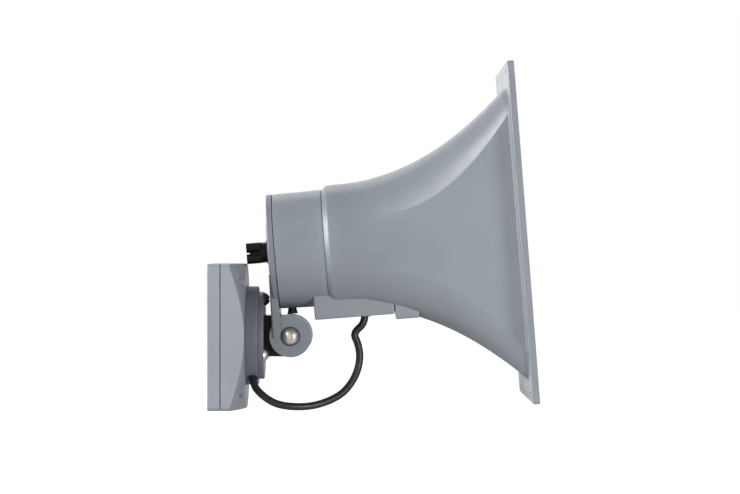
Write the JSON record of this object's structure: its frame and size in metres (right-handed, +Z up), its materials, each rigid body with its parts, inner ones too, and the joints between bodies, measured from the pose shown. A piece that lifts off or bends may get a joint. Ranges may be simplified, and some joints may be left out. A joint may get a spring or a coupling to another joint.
{
  "type": "horn loudspeaker",
  "caption": "Weatherproof paging horn with a flared rectangular mouth on a wall base that pans, tilts and rolls, with a short lead from the swivel to the horn.",
  "frame": {"origin": "centre of the wall base's rear face, on the wall", "axes": "+X out of the wall towards the mouth, +Z up, Y across"},
  "size_m": [0.2848, 0.21, 0.3012],
  "materials": {
    "light_grey_plastic": "fine grained, light grey",
    "bell_grey": "smooth satin, light grey",
    "dark_grey_cast": "satin paint on cast aluminium",
    "arm_grey": "satin paint on cast aluminium",
    "black_rubber": "matte",
    "black_plastic": "matte",
    "stainless": "machined",
    "brass": "machined",
    "ferrite": "matte ceramic",
    "zinc_steel": "zinc plated",
    "copper": "enamelled copper wire",
    "board_green": "solder mask",
    "white_nylon": "moulded nylon",
    "film": "thin amber film",
    "titanium": "thin pressed sheet"
  },
  "bodies": {
    "base": {"base_plate": "light_grey_plastic", "base_gasket": "black_rubber", "base_cover": "light_grey_plastic", "cover_screws": "stainless", "cable_inlet_grommet": "black_rubber", "transformer_core": "zinc_steel", "transformer_winding": "copper", "circuit_board": "board_green", "board_standoffs": "white_nylon", "terminal_block": "black_plastic", "terminal_screws": "zinc_steel"},
    "turntable": {"turntable_ring": "dark_grey_cast", "turntable_plate": "dark_grey_cast", "turntable_screws": "stainless", "turntable_retainer": "zinc_steel", "swivel_o_ring": "black_rubber", "pivot_lug": "black_plastic", "lug_screws": "zinc_steel", "pivot_bush": "white_nylon", "lead_grommet_lower": "black_rubber", "lead_lower": "black_rubber"},
    "bracket": {"tilt_arm": "arm_grey", "pivot_bolt": "stainless", "pivot_washers": "black_rubber", "friction_washers": "white_nylon", "pivot_nut": "stainless", "clamp_washer": "black_rubber"},
    "knob": {"clamp_knob": "black_plastic", "clamp_stud": "zinc_steel"},
    "horn": {"driver_housing": "bell_grey", "housing_screws": "stainless", "housing_insert": "brass", "housing_gasket": "black_rubber", "tap_plug": "black_rubber", "bell": "bell_grey", "throat_tube": "bell_grey", "reflector": "bell_grey", "lead_cover": "bell_grey", "lead_cover_screws": "stainless", "lead_grommet_upper": "black_rubber", "lead_upper": "black_rubber", "pole_yoke": "zinc_steel", "magnet": "ferrite", "top_plate": "zinc_steel", "diaphragm_clamp_ring": "black_plastic", "phase_plug": "black_plastic", "diaphragm_surround": "film", "driver_screws": "zinc_steel", "driver_terminals": "brass", "driver_leads": "copper"},
    "diaphragm": {"diaphragm_dome": "titanium", "voice_coil": "copper"}
  },
  "joints": [
    {"name": "pan", "type": "hinge", "parent": "base", "child": "turntable", "pos_m": [0.031, 0, 0], "axis": [1, 0, 0], "range_deg": [-175, 175]},
    {"name": "tilt", "type": "hinge", "parent": "turntable", "child": "bracket", "pos_m": [0.071, 0, 0], "axis": [0, 1, 0], "range_deg": [0, 60], "deforming": ["lead_lower"]},
    {"name": "roll", "type": "hinge", "parent": "bracket", "child": "horn", "pos_m": [0.05727, 0, 0.07416], "axis": [0.9971, 0, 0.0767], "range_deg": [-90, 90], "deforming": ["lead_upper"]},
    {"name": "knob_turn", "type": "hinge", "parent": "bracket", "child": "knob", "pos_m": [0.04929, 0, 0.07355], "axis": [0.9971, 0, 0.0767], "continuous": true},
    {"name": "diaphragm_stroke", "type": "slide", "parent": "horn", "child": "diaphragm", "axis": [0.9971, 0, 0.0767], "range_m": [-0.0004, 0.0004], "stiffness_N_per_m": 5000, "deforming": ["diaphragm_surround"]}
  ]
}
